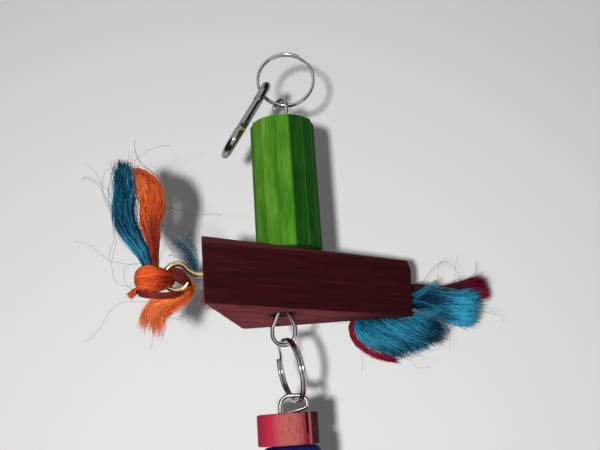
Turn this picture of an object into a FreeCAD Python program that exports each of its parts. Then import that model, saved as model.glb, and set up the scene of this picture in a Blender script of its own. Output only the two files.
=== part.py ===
import FreeCAD, Part
import math
import os
from FreeCAD import Placement, Rotation, Vector

# A hanging bird toy, in millimetres.
# The origin is the inner top of the upper split ring, where the toy hangs.
# X runs to the right across the ring, Y away from the front, and Z up.

# Split rings
ring_outer = 25.0
ring_wire = 1.2
ring_turn_gap = 0.06
ring_step_angle = 40.0
ring_step_spans = 8
top_ring_split = 60.0
middle_ring_split = 150.0

# Wire links
link_wire = 1.6
link_leg_gap = 0.2
strand_x = -2.7
upper_eye_width = 10.4
upper_eye_yaw = -50.0
lower_eye_width = 10.7
lower_eye_yaw = -10.0
eye_above_dowel = 11.9
upper_eye_shoulder = 7.0
upper_eye_neck = 13.0
lower_eye_shoulder = 7.0
lower_eye_neck = 16.0
neck_bend = 3.0
ring_hang_clearance = 0.8

# Wooden pieces
string_hole = 9.6
stack_lean = 2.4
block_lean = 1.6
piece_gap = 0.3
shoulder_seat = 12.4
block_front = 105.6
block_back_along = 44.3
block_depth = 44.3
block_height = 24.3
block_edge = 0.6
block_back_rounding = 3.0
block_flare = 2.2
block_back_drop = 1.9
block_tip_flat = 3.0
block_tip_cut_along = 4.0
block_tip_cut_down = 2.2
block_hole_along = 42.2
block_hole_in = 11.6
block_hole_x = -0.3
block_yaw = 37.0
dowel_diameter = 26.6
dowel_length = 54.4
dowel_flutes = 14
dowel_flute_depth = 0.4
dowel_end_ease = 0.7
dowel_shift = 4.0

# Snap clip
clip_wire = 3.5
clip_length = 38.0
clip_narrow_width = 13.0
clip_wide_width = 20.5
clip_lean = 30.0
clip_on_ring_angle = 200.0
clip_turn = -13.0
clip_clearance = 0.75
clip_narrow_bend = 4.6
clip_wide_bend = 7.2
gate_wire = 3.1
gate_start = 9.5
gate_end = 25.4
gate_clearance = 0.3
gate_tongue = 1.2
gate_tongue_width = 2.4
gate_tooth_width = 2.2
gate_slot_clearance = 0.12
gate_pin = 1.2
gate_pin_clearance = 0.05
gate_ear_length = 3.6
nose_slot_depth = 1.8

# Screw eyes and the rope tied in them
eye_wire = 2.0
eye_loop = 11.4
eye_neck = 6.8
eye_thread = 7.5
eye_end_gap = 0.3
rope_slack = 0.1
left_eye_from_corner = 9.0
right_eye_from_corner = 14.0
eye_height = 11.9

knot_rounding = 0.42
left_knot_diameter = 12.0
left_knot_length = 15.6
left_knot_past_eye = 3.7
right_knot_diameter = 11.6
right_knot_length = 13.0
right_knot_past_eye = -2.2
right_knot_aside = 2.4
right_knot_drop = 3.2
blue_bunch_length = 45.0
blue_bunch_width = 8.4
orange_bunch_length = 42.0
orange_bunch_width = 9.4
tail_length = 22.0
tail_width = 9.4
tuft_length = 18.0
tuft_width = 4.6
right_upper_length = 46.0
right_upper_width = 17.2
right_lower_length = 30.0
right_lower_width = 12.8
crimson_low_length = 30.0
crimson_low_width = 2.8
crimson_high_length = 46.0
crimson_high_width = 7.0

# Middle ring and lower string
middle_ring_lean = 12.6
middle_ring_yaw = 70.0
middle_ring_seat = 2.0
lower_loop_left = -1.9
lower_loop_right = 8.4
lower_loop_seat = 2.05
lower_loop_drop = 4.4
lower_loop_low = 6.7
lower_loop_bends = (3.9, 2.9, 2.0, 1.6)
lower_strand_x = 0.2
bottom_eye_width = 10.0
bottom_eye_shoulder = 6.0
bottom_eye_neck = 11.0
disc_diameter = 23.2
disc_thickness = 11.6
disc_top_below_ring = 4.6
disc_shift = 0.8
disc_edge = 0.7
barrel_diameter = 22.4
barrel_length = 30.0
barrel_edge = 3.0
barrel_shift = 1.7
barrel_seat = 9.6

ORIGIN = Vector(0, 0, 0)
X_AXIS = Vector(1, 0, 0)
Y_AXIS = Vector(0, 1, 0)
Z_AXIS = Vector(0, 0, 1)

ring_mean = (ring_outer - ring_wire) / 2
leg_offset = (link_wire + link_leg_gap) / 2


def moved(shape, placement):
    """A copy of a shape, moved by a placement."""
    copy = shape.copy()
    copy.Placement = placement.multiply(copy.Placement)
    return copy


def rounded_path(corners, radii):
    """Straight runs through the corners, joined by tangent arcs."""
    edges = []
    start = corners[0]
    for before, corner, after, radius in zip(corners, corners[1:], corners[2:], radii):
        arriving = (corner - before).normalize()
        leaving = (after - corner).normalize()
        turn = arriving.getAngle(leaving)
        reach = radius * math.tan(turn / 2)
        inwards = (leaving - arriving).normalize()
        centre = corner + inwards * (radius / math.cos(turn / 2))
        arc_start = corner - arriving * reach
        arc_end = corner + leaving * reach
        if (arc_start - start).Length > 1e-6:
            edges.append(Part.LineSegment(start, arc_start).toShape())
        edges.append(Part.Arc(arc_start, centre - inwards * radius, arc_end).toShape())
        start = arc_end
    edges.append(Part.LineSegment(start, corners[-1]).toShape())
    return edges


def swept_wire(edges, diameter):
    """A round wire along tangent edges."""
    first = edges[0]
    start = first.valueAt(first.FirstParameter)
    along = first.tangentAt(first.FirstParameter)
    profile = Part.Wire(Part.makeCircle(diameter / 2, start, along))
    return Part.Wire(edges).makePipeShell([profile], True, True)


def split_ring(split_angle):
    """Two turns of wire side by side round the Y axis, with the step from one to the other."""
    half_pitch = (ring_wire + ring_turn_gap) / 2
    step = math.radians(ring_step_angle)
    first = math.radians(split_angle)
    turn = 2 * math.pi

    def at(angle, y):
        return Vector(ring_mean * math.cos(angle), y, ring_mean * math.sin(angle))

    def turn_arc(start, end, y):
        return Part.Arc(at(start, y), at((start + end) / 2, y), at(end, y)).toShape()

    step_start = first + turn - step
    step_end = first + turn
    points = []
    for index in range(ring_step_spans + 1):
        share = index / ring_step_spans
        rise = -half_pitch + 2 * half_pitch * (share - math.sin(turn * share) / turn)
        points.append(at(step_start + step * share, rise))
    curve = Part.BSplineCurve()
    curve.interpolate(
        Points=points,
        InitialTangent=Vector(-math.sin(step_start), 0, math.cos(step_start)),
        FinalTangent=Vector(-math.sin(step_end), 0, math.cos(step_end)),
    )
    middle = (first + step_start) / 2
    edges = [
        turn_arc(first, middle, -half_pitch),
        turn_arc(middle, step_start, -half_pitch),
        curve.toShape(),
        turn_arc(step_end, middle + turn, half_pitch),
        turn_arc(middle + turn, step_start + turn, half_pitch),
    ]
    return swept_wire(edges, ring_wire)


def plane_point(yaw, across, height):
    """A point in an upright plane that is turned by yaw about the Z axis."""
    angle = math.radians(yaw)
    return Vector(across * math.cos(angle), across * math.sin(angle), height)


def rod(start, end, diameter):
    """A round bar between two points."""
    along = end - start
    return Part.makeCylinder(diameter / 2, along.Length, start, along)


# Upper string
ring_centre = Vector(0, 0, ring_wire - ring_outer / 2)
hook_on_ring_z = ring_centre.z - math.sqrt(ring_mean ** 2 - strand_x ** 2)
upper_link_top = hook_on_ring_z + ring_wire / 2 + ring_hang_clearance + link_wire / 2
upper_link_length = shoulder_seat + block_height + piece_gap + dowel_length + eye_above_dowel
upper_link_bottom = upper_link_top - upper_link_length
block_bottom = upper_link_bottom + shoulder_seat


def make_upper_link():
    """One wire bent to an eye at each end, its legs side by side through the wood."""
    top_half_width = (upper_eye_width - link_wire) / 2
    low_half_width = (lower_eye_width - link_wire) / 2
    neck_share = (upper_link_top - upper_eye_neck + upper_link_bottom + lower_eye_neck) / 2

    def eye_path(z_of, yaw, half_width, shoulder, neck, other_yaw):
        def point(across, along):
            return plane_point(yaw, across, z_of(along))

        legs = []
        for side in (-1, 1):
            legs.append((point(side * leg_offset, neck) + plane_point(
                other_yaw, side * leg_offset, 2 * neck_share - z_of(neck))) / 2)
        corners = [
            legs[0],
            point(-leg_offset, neck),
            point(-half_width, shoulder),
            point(-half_width, 0),
            point(half_width, 0),
            point(half_width, shoulder),
            point(leg_offset, neck),
            legs[1],
        ]
        bends = [neck_bend, neck_bend, half_width, half_width, neck_bend, neck_bend]
        return rounded_path(corners, bends)

    top = eye_path(lambda along: upper_link_top - along, upper_eye_yaw, top_half_width,
                   upper_eye_shoulder, upper_eye_neck, lower_eye_yaw)
    low = eye_path(lambda along: upper_link_bottom + along, lower_eye_yaw, low_half_width,
                   lower_eye_shoulder, lower_eye_neck, upper_eye_yaw)
    link = swept_wire(top, link_wire).fuse(swept_wire(low, link_wire)).removeSplitter()
    return moved(link, Placement(Vector(strand_x, 0, 0), Rotation()))


# Wooden stack on the upper string
block_seat = Vector(strand_x + block_hole_x, 0, block_bottom)
block_axis = Rotation(Y_AXIS, -block_lean)
block_place = Placement(block_seat, block_axis.multiply(Rotation(Z_AXIS, block_yaw)))
stack = Placement(block_place.multVec(Z_AXIS * block_height), Rotation(Y_AXIS, -stack_lean))
dowel_place = stack.multiply(Placement(Vector(dowel_shift, 0, piece_gap), Rotation()))


def eased_bar(diameter, length, edge):
    """A round bar on the Z axis with eased rims."""
    bar = Part.makeCylinder(diameter / 2, length)
    rims = [rim for rim in bar.Edges if isinstance(rim.Curve, Part.Circle)]
    return bar.makeFillet(edge, rims)


def make_dowel():
    """A fluted dowel with a hole along its axis."""
    radius = dowel_diameter / 2
    pitch = 2 * math.pi / dowel_flutes

    def rim(angle, distance):
        return Vector(distance * math.cos(angle), distance * math.sin(angle), 0)

    flutes = []
    for index in range(dowel_flutes):
        start = index * pitch
        valley = radius * math.cos(pitch / 2) - dowel_flute_depth
        flutes.append(Part.Arc(
            rim(start, radius), rim(start + pitch / 2, valley), rim(start + pitch, radius)).toShape())
    body = Part.Face(Part.Wire(flutes)).extrude(Vector(0, 0, dowel_length))
    body = body.common(eased_bar(dowel_diameter, dowel_length, dowel_end_ease))
    return moved(body.cut(Part.makeCylinder(string_hole / 2, dowel_length)), dowel_place)


def block_point(along, depth, height):
    """A point of the block, measured from its front left bottom corner."""
    return Vector(along - block_hole_along, depth - block_hole_in, height)


front_left = block_point(0, 0, 0)
right_tip = block_point(block_front, 0, 0)
back_corner = block_point(block_back_along, block_depth, 0)
left_side = (back_corner - front_left).normalize()
back_side = (back_corner - right_tip).normalize()
left_outwards = Z_AXIS.cross(left_side)
back_outwards = back_side.cross(Z_AXIS)


def eye_place(corner, side, outwards, distance):
    """Where a screw eye enters a side of the block, with its X axis pointing out."""
    at = corner + side * distance + Z_AXIS * eye_height
    return block_place.multiply(Placement(at, Rotation(outwards, ORIGIN, Z_AXIS, "XZY")))


left_eye_place = eye_place(front_left, left_side, left_outwards, left_eye_from_corner)
right_eye_place = eye_place(right_tip, back_side, back_outwards, right_eye_from_corner)


def make_block():
    """A triangular block, sawn a little out of square, with its string hole and pilot holes."""
    tip_front = right_tip - X_AXIS * block_tip_flat
    tip_back = right_tip + back_side * block_tip_flat
    top_share = (block_front + block_flare) / block_front
    low_outline = []
    top_outline = []
    for corner in (front_left, tip_front, tip_back, back_corner):
        depth = corner.y - front_left.y
        low_outline.append(corner - Z_AXIS * block_back_drop * depth / block_depth)
        top_outline.append(corner * top_share + Z_AXIS * block_height)
    outlines = [Part.makePolygon(outline + outline[:1]) for outline in (low_outline, top_outline)]
    block = Part.makeLoft(outlines, True, True)

    back_edges = [edge for edge in block.Edges if edge.CenterOfMass.y > back_corner.y]
    block = block.makeFillet(block_back_rounding, back_edges)
    tip_edges = [edge for edge in block.Edges
                 if edge.Length < block_tip_flat and edge.CenterOfMass.z > block_height / 2]
    block = block.makeChamfer(block_tip_cut_along, block_tip_cut_down, tip_edges)
    long_edges = [edge for edge in block.Edges if edge.Length > block_height / 2]
    block = block.makeFillet(block_edge, long_edges)
    block = block.cut(Part.makeCylinder(
        string_hole / 2, block_height + 2 * block_back_drop, Z_AXIS * -2 * block_back_drop))
    block = moved(block, block_place)
    pilot = Part.makeCylinder(
        eye_wire / 2, eye_thread + block_flare, X_AXIS * block_flare, X_AXIS * -1)
    for place in (left_eye_place, right_eye_place):
        block = block.cut(moved(pilot, place))
    return block


def make_screw_eye(place, wire=eye_wire):
    """A wire loop closed on its own neck, with the thread end in the wood."""
    half = (eye_loop - eye_wire) / 2
    end_x = eye_neck + eye_loop - eye_wire / 2
    closing = eye_wire + eye_end_gap
    corners = [
        Vector(-eye_thread, 0, 0),
        Vector(eye_neck - half * 0.3, 0, 0),
        Vector(eye_neck + half * 0.55, 0, half),
        Vector(end_x, 0, half),
        Vector(end_x, 0, -half),
        Vector(eye_neck + half * 0.8, 0, -half),
        Vector(eye_neck + half * 0.3, 0, -closing),
    ]
    bends = [half * 0.5, half * 0.5, half * 0.98, half * 0.98, half * 0.4]
    return moved(swept_wire(rounded_path(corners, bends), wire), place)


# Snap clip
clip_along = Vector(-math.sin(math.radians(clip_lean)), 0, -math.cos(math.radians(clip_lean)))
clip_seat = ring_mean - (ring_wire + clip_wire) / 2 - clip_clearance
clip_bar = ring_centre + Vector(
    clip_seat * math.cos(math.radians(clip_on_ring_angle)), 0,
    clip_seat * math.sin(math.radians(clip_on_ring_angle)))
clip_across = Rotation(clip_along, clip_turn).multVec(Y_AXIS)
clip_place = Placement(clip_bar, Rotation(clip_along, clip_across, ORIGIN, "XYZ"))
clip_run = clip_length - clip_wire
narrow_half = (clip_narrow_width - clip_wire) / 2
wide_half = (clip_wide_width - clip_wire) / 2


def clip_side(along, inset=0.0):
    """A point on the centre line of the clip's gate side."""
    return Vector(along, -(narrow_half + (wide_half - narrow_half) * along / clip_run) + inset, 0)


gate_run = clip_side(gate_end) - clip_side(gate_start)
gate_direction = Vector(gate_run).normalize()
gate_hinge = clip_side(gate_end) - gate_direction * gate_ear_length / 2
gate_turn = Placement(gate_hinge, Rotation(X_AXIS, gate_direction))
nose_x = gate_ear_length / 2 - gate_run.Length


def in_gate(start, end, across, thick):
    """A box on the gate's axis, measured from the gate's pin."""
    box = Part.makeBox(end - start, across, thick, Vector(start, -across / 2, -thick / 2))
    return moved(box, gate_turn)


def on_pin(radius, thick):
    """A flat disc round the gate's pin."""
    return moved(Part.makeCylinder(radius, thick, Vector(0, 0, -thick / 2)), gate_turn)


def make_clip_body():
    """The bent body of the clip, with a slotted nose and a tongue for the gate's pin."""
    corners = [
        clip_side(gate_start),
        clip_side(0),
        Vector(0, narrow_half, 0),
        Vector(clip_run, wide_half, 0),
        Vector(clip_run, -wide_half, 0),
        clip_side(gate_end),
    ]
    bends = [clip_narrow_bend, clip_narrow_bend, clip_wide_bend, clip_wide_bend]
    body = swept_wire(rounded_path(corners, bends), clip_wire)
    tongue = in_gate(0, gate_ear_length, gate_tongue_width, gate_tongue).fuse(
        on_pin(gate_tongue_width / 2, gate_tongue))
    slot = in_gate(nose_x - nose_slot_depth, nose_x + gate_clearance, 2 * clip_wire,
                   gate_tongue + 2 * gate_slot_clearance)
    body = body.cut(slot).fuse(tongue).cut(on_pin(gate_pin / 2, clip_wire)).removeSplitter()
    return moved(body, clip_place)


def make_clip_gate():
    """The straight gate, slotted over the tongue, with a tooth in the nose."""
    high = clip_side(gate_start) + gate_direction * gate_clearance
    ear_end = gate_hinge + gate_direction * gate_wire / 2
    ear = rod(gate_hinge, ear_end, gate_wire).common(on_pin(gate_wire / 2, gate_wire))
    tooth = in_gate(nose_x - nose_slot_depth + gate_clearance, nose_x + 2 * gate_clearance,
                    gate_tooth_width, gate_tongue)
    gate = rod(high, gate_hinge, gate_wire).fuse([ear, tooth])
    slot = in_gate(-gate_tongue_width / 2 - gate_clearance, gate_ear_length, 2 * clip_wire,
                   gate_tongue + 2 * gate_slot_clearance)
    gate = gate.cut(slot).cut(on_pin(gate_pin / 2 + gate_pin_clearance, clip_wire)).removeSplitter()
    return moved(gate, clip_place)


def make_clip_pin():
    """The rivet that the gate turns on."""
    return moved(on_pin(gate_pin / 2, gate_wire), clip_place)


# Middle ring and lower string
ring_lean = math.radians(middle_ring_lean)
ring_turned = math.radians(middle_ring_yaw)
ring_up = Vector(-math.sin(ring_lean), 0, math.cos(ring_lean))
ring_side = Vector(math.cos(ring_turned) * math.cos(ring_lean), -math.sin(ring_turned),
                   math.cos(ring_turned) * math.sin(ring_lean))
middle_ring_top = Vector(strand_x, 0, upper_link_bottom + middle_ring_seat)
middle_ring_centre = middle_ring_top - ring_up * ring_mean
middle_ring_low = middle_ring_centre - ring_up * ring_mean
middle_ring_place = Placement(middle_ring_centre, Rotation(ring_side, ORIGIN, ring_up, "XZY"))
lower_x = strand_x + lower_strand_x
loop_top = middle_ring_low.z + lower_loop_seat
legs_top = loop_top - lower_loop_low - neck_bend * 2
lower_axis = Placement(Vector(lower_x, 0, legs_top), Rotation(Y_AXIS, -stack_lean))
disc_low = middle_ring_low.z - disc_top_below_ring - disc_thickness - legs_top
barrel_low = disc_low - piece_gap - barrel_length
disc_place = lower_axis.multiply(Placement(Vector(disc_shift, 0, disc_low), Rotation()))
barrel_place = lower_axis.multiply(Placement(Vector(barrel_shift, 0, barrel_low), Rotation()))
bottom_eye_low = barrel_low - barrel_seat


def make_lower_link():
    """A wire with a leaning loop at the top and a plain eye under the barrel."""
    half_width = (bottom_eye_width - link_wire) / 2
    middle = (bottom_eye_low + bottom_eye_neck) / 2

    def point(x, z):
        return Vector(strand_x + x, 0, loop_top + z)

    def leg_point(across, up):
        return lower_axis.multVec(Vector(across, 0, up))

    loop = [
        leg_point(-leg_offset, middle),
        leg_point(-leg_offset, 0),
        point(lower_loop_left, neck_bend / 4 - lower_loop_low),
        point(lower_loop_left, 0),
        point(lower_loop_right, 0),
        point(lower_loop_right, -lower_loop_drop),
        leg_point(leg_offset, loop_top - lower_loop_low - legs_top),
        leg_point(leg_offset, middle),
    ]
    loop_bends = [neck_bend, neck_bend, *lower_loop_bends]
    eye = [
        leg_point(-leg_offset, middle),
        leg_point(-leg_offset, bottom_eye_low + bottom_eye_neck),
        leg_point(-half_width, bottom_eye_low + bottom_eye_shoulder),
        leg_point(-half_width, bottom_eye_low),
        leg_point(half_width, bottom_eye_low),
        leg_point(half_width, bottom_eye_low + bottom_eye_shoulder),
        leg_point(leg_offset, bottom_eye_low + bottom_eye_neck),
        leg_point(leg_offset, middle),
    ]
    eye_bends = [neck_bend, neck_bend, half_width, half_width, neck_bend, neck_bend]
    return swept_wire(rounded_path(loop, loop_bends), link_wire).fuse(
        swept_wire(rounded_path(eye, eye_bends), link_wire)).removeSplitter()


def make_disc():
    """A short slice of dowel with a hole."""
    body = eased_bar(disc_diameter, disc_thickness, disc_edge)
    return moved(body.cut(Part.makeCylinder(string_hole / 2, disc_thickness)), disc_place)


def make_barrel():
    """A round-shouldered wooden barrel with a hole."""
    body = eased_bar(barrel_diameter, barrel_length, barrel_edge)
    return moved(body.cut(Part.makeCylinder(string_hole / 2, barrel_length)), barrel_place)


# Rope tied in the screw eyes
def bunch(root, length, width, sections):
    """A tapered bunch of fibres. Its places and widths are shares of its length and width."""
    points = [root + Vector(*place) * length for place, share in sections]
    radii = [width / 2 * share for place, share in sections]
    befores = points[:1] + points[:-1]
    afters = points[1:] + points[-1:]
    rings = []
    for point, radius, before, after in zip(points, radii, befores, afters):
        rings.append(Part.Wire(Part.makeCircle(radius, point, after - before)))
    return Part.makeLoft(rings, True, False)


def knot(centre, diameter, length):
    """Turns of rope round a bunch, as a bar along X with round ends."""
    bar = eased_bar(diameter, length, diameter * knot_rounding)
    bar.translate(Z_AXIS * -length / 2)
    return moved(bar, Placement(centre, Rotation(Y_AXIS, 90)))


def past_loop(place, distance):
    """A point past the outer end of a screw eye's loop."""
    return place.multVec(X_AXIS * (eye_neck + eye_loop + distance))


left_knot_centre = past_loop(left_eye_place, left_knot_past_eye)
right_knot_centre = past_loop(right_eye_place, right_knot_past_eye) + Vector(
    right_knot_aside, 0, -right_knot_drop)
left_eye = make_screw_eye(left_eye_place)
right_eye = make_screw_eye(right_eye_place)
left_eye_room = make_screw_eye(left_eye_place, eye_wire + 2 * rope_slack)
right_eye_room = make_screw_eye(right_eye_place, eye_wire + 2 * rope_slack)


def make_left_tassel():
    """The knot, two raised bunches, the hanging tail and the small tuft of the left rope."""
    root = left_knot_centre
    tied = knot(root, left_knot_diameter, left_knot_length).cut(left_eye_room)
    blue = bunch(root, blue_bunch_length, blue_bunch_width, [
        ((-0.02, -0.02, 0.10), 0.50),
        ((-0.04, -0.03, 0.25), 0.62),
        ((-0.14, -0.04, 0.38), 0.75),
        ((-0.23, -0.04, 0.51), 0.92),
        ((-0.24, -0.04, 0.68), 1.00),
        ((-0.24, -0.04, 0.87), 0.92),
        ((-0.26, -0.04, 1.00), 0.40),
    ])
    orange = bunch(root, orange_bunch_length, orange_bunch_width, [
        ((0.02, 0.04, 0.10), 0.42),
        ((0.00, 0.04, 0.26), 0.48),
        ((-0.01, 0.05, 0.42), 0.72),
        ((-0.02, 0.05, 0.57), 0.95),
        ((-0.02, 0.05, 0.75), 1.00),
        ((-0.07, 0.05, 0.89), 0.80),
        ((-0.16, 0.04, 0.97), 0.35),
    ])
    tail = bunch(root, tail_length, tail_width, [
        ((0.38, -0.07, -0.34), 0.42),
        ((0.25, -0.07, -0.40), 0.76),
        ((0.15, -0.07, -0.62), 1.00),
        ((0.05, -0.07, -1.00), 0.88),
    ])
    tuft = bunch(root, tuft_length, tuft_width, [
        ((0.33, 0.27, 0.08), 0.70),
        ((0.69, 0.28, 0.22), 0.87),
        ((0.83, 0.28, 0.53), 1.00),
        ((0.69, 0.28, 0.80), 0.87),
        ((0.47, 0.28, 1.00), 0.45),
    ])
    blue = blue.cut(tied)
    orange = orange.cut(tied).cut(blue)
    tail = tail.cut(tied).cut(left_eye_room)
    tuft = tuft.cut(tied).cut(left_eye_room)
    return {
        "left_knot": tied,
        "left_blue_bunch": blue,
        "left_orange_bunch": orange,
        "left_tail": tail,
        "left_tuft": tuft,
    }


def make_right_tassel():
    """The knot and the fanned bunches of the right rope, behind the block."""
    root = right_knot_centre
    tied = knot(root, right_knot_diameter, right_knot_length).cut(right_eye_room)
    upper = bunch(root, right_upper_length, right_upper_width, [
        ((0.04, -0.05, 0.00), 0.47),
        ((0.24, -0.12, -0.07), 0.88),
        ((0.50, -0.16, -0.11), 1.00),
        ((0.74, -0.17, -0.10), 0.90),
        ((0.90, -0.17, -0.08), 0.50),
    ])
    lower = bunch(root, right_lower_length, right_lower_width, [
        ((-0.13, -0.17, -0.13), 0.54),
        ((-0.32, -0.25, -0.30), 0.68),
        ((-0.27, -0.27, -0.48), 0.84),
        ((0.05, -0.27, -0.59), 1.00),
        ((0.50, -0.27, -0.68), 0.92),
        ((0.80, -0.27, -0.77), 0.37),
    ])
    crimson_low = bunch(root, crimson_low_length, crimson_low_width, [
        ((-0.17, -0.15, -0.03), 0.90),
        ((-0.40, -0.28, -0.13), 1.00),
        ((-0.56, -0.32, -0.32), 1.00),
        ((-0.53, -0.32, -0.57), 1.00),
        ((-0.36, -0.32, -0.73), 1.00),
        ((-0.15, -0.32, -0.82), 1.00),
        ((0.15, -0.32, -0.90), 0.70),
    ])
    crimson_high = bunch(root, crimson_high_length, crimson_high_width, [
        ((0.10, -0.06, 0.09), 0.52),
        ((0.28, -0.07, 0.13), 0.68),
        ((0.52, -0.07, 0.08), 0.86),
        ((0.76, -0.07, 0.11), 0.92),
        ((0.95, -0.08, 0.13), 1.00),
    ])
    upper = upper.cut(tied).cut(right_eye_room)
    lower = lower.cut(tied).cut(right_eye_room).cut(upper)
    return {
        "right_knot": tied,
        "right_upper_bunch": upper,
        "right_lower_bunch": lower,
        "right_crimson_low": crimson_low.cut(lower).cut(tied),
        "right_crimson_high": crimson_high.cut(upper).cut(tied),
    }


parts = {
    "top_split_ring": moved(split_ring(top_ring_split), Placement(ring_centre, Rotation())),
    "clip_body": make_clip_body(),
    "clip_gate": make_clip_gate(),
    "clip_pin": make_clip_pin(),
    "upper_link": make_upper_link(),
    "green_dowel": make_dowel(),
    "maroon_block": make_block(),
    "left_screw_eye": left_eye,
    "right_screw_eye": right_eye,
    "middle_split_ring": moved(split_ring(middle_ring_split), middle_ring_place),
    "lower_link": make_lower_link(),
    "pink_disc": make_disc(),
    "blue_barrel": make_barrel(),
}
parts.update(make_left_tassel())
parts.update(make_right_tassel())

os.makedirs("parts", exist_ok=True)
for name, shape in parts.items():
    box = shape.BoundBox
    print(f"{name:20s} valid {shape.isValid()} solids {len(shape.Solids)} volume {shape.Volume:9.1f}"
          f"  x {box.XMin:7.1f} {box.XMax:7.1f}  y {box.YMin:7.1f} {box.YMax:7.1f}"
          f"  z {box.ZMin:7.1f} {box.ZMax:7.1f}")
    shape.exportStep(f"parts/{name}.step")
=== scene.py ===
import bpy
import math
import numpy as np
from mathutils import Matrix, Vector


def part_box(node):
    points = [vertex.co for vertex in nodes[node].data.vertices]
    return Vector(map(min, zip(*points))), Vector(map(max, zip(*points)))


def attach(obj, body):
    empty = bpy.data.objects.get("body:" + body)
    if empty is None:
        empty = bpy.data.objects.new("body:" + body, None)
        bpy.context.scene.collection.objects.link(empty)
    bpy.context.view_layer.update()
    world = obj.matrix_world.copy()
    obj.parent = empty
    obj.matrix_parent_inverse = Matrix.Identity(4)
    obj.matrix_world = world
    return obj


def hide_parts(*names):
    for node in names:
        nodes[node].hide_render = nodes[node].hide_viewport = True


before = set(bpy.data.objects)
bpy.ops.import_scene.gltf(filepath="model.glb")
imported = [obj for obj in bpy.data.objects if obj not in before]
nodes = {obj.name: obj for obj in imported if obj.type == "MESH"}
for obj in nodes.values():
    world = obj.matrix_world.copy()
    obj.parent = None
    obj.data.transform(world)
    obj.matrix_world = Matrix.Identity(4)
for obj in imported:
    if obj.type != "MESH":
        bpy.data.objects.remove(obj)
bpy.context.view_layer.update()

MM = 0.001


def box_centre(node):
    """The middle of a node's box."""
    low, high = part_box(node)
    return Vector([(a + b) / 2 for a, b in zip(low, high)])


# Places in metres, read from the frame
dowel_centre = box_centre("green_dowel")
block_centre = box_centre("maroon_block")
disc_centre = box_centre("pink_disc")

# The middles of the two knots in mm, from which the ropes' lines are measured
left_knot = np.array(box_centre("left_knot")) / MM
right_knot = np.array(box_centre("right_knot")) / MM

# The wall stands far enough behind the toy to clear it at every joint's limit
WALL_GAP = 52 * MM
WALL_WIDTH = 4
wall_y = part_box("right_knot")[1][1] + WALL_GAP

# How the woods stand, which their grain follows
STACK_LEAN = math.radians(2.4)
BLOCK_YAW = math.radians(37)
DOWEL_FLUTES = 14

# Where the upper link leaves the block's underside, and how far the painted shade round its hole reaches
HOLE_PLACE = Vector((-3.0, 0, -111.6)) * MM
HOLE_SHADE_START = 8.0 * MM
HOLE_SHADE_FULL = 5.0 * MM

# Where the neck of each screw eye leaves the wood in mm, the way it points, and the way up of both loops
LEFT_EYE_PLACE = (-28.79, -25.75, -100.41)
LEFT_EYE_OUTWARDS = (-0.990, 0.139, -0.028)
RIGHT_EYE_PLACE = (40.27, 28.61, -98.48)
RIGHT_EYE_OUTWARDS = (-0.020, 1.0, -0.001)
EYE_UPWARDS = (-0.028, 0.0, 1.0)

# The camera looks up at the toy from a little below its middle; its angles are in degrees
CAMERA_PLACE = (4.7 * MM, -294 * MM, -154.5 * MM)
CAMERA_PITCH = 15
CAMERA_ROLL = -1.4
CAMERA_LENS = 45
CAMERA_SENSOR = 36

# A small lamp stands behind the camera, on its left, and a wide soft one behind the wall for the back
LAMP_PLACE = Vector((-0.036, -0.4185, -0.185))
LAMP_RADIUS = 0.0095
LAMP_POWER = 7.6
BACK_LAMP_PLACE = Vector((0.15, 0.75, 0.15))
BACK_LAMP_AIM = Vector((0, 0, -0.1))
BACK_LAMP_WIDTH = 0.5
BACK_LAMP_POWER = 5.5

# The room's colour where it is seen or reflected, and the weaker light that it sheds
ROOM_SEEN = (0.80, 0.81, 0.79, 1)
ROOM_LIGHT = (0.13, 0.13, 0.134, 1)

# The places kept on each fibre, and the thickness in mm of one in a bunch, a wound one and a loose one
FIBRE_PLACES = 10
BUNCH_FIBRE = 0.19
WOUND_FIBRE = 0.2
LOOSE_FIBRE = 0.12

# The near-black of a crack in dyed wood, also the painted shade round the block's hole
DEEP_SHADE = (0.012, 0.002, 0.003, 1)


# Shader nodes
def add_node(tree, kind, inputs=None, **settings):
    """A shader node with its settings and the values or links of its inputs."""
    node = tree.nodes.new(kind)
    for key, value in settings.items():
        setattr(node, key, value)
    for key, value in (inputs or {}).items():
        if isinstance(value, bpy.types.NodeSocket):
            tree.links.new(value, node.inputs[key])
        else:
            node.inputs[key].default_value = value
    return node


def new_material(name):
    """An empty material with its Principled BSDF."""
    material = bpy.data.materials.new(name)
    material.use_nodes = True
    tree = material.node_tree
    return material, tree, tree.nodes["Principled BSDF"]


def colour_ramp(tree, factor, stops):
    """A colour ramp through (position, colour) stops."""
    ramp = add_node(tree, "ShaderNodeValToRGB", {"Fac": factor})
    elements = ramp.color_ramp.elements
    while len(elements) < len(stops):
        elements.new(0.5)
    for element, (position, colour) in zip(elements, stops):
        element.position = position
        element.color = (*colour, 1)
    return ramp.outputs["Color"]


def math_node(tree, operation, first, second=0.0):
    """The result of a sum, product or other operation on one or two values."""
    return add_node(tree, "ShaderNodeMath", {0: first, 1: second}, operation=operation).outputs[0]


def band(tree, value, start, end):
    """0 up to start, 1 from end on, and even between them; start may be the larger number."""
    return add_node(tree, "ShaderNodeMapRange", {
        "Value": value, "From Min": start, "From Max": end}).outputs[0]


def mix_colours(tree, factor, first, second):
    """The first colour at a factor of 0 and the second at 1."""
    return add_node(tree, "ShaderNodeMix", {0: factor, 6: first, 7: second}, data_type="RGBA").outputs[2]


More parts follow.
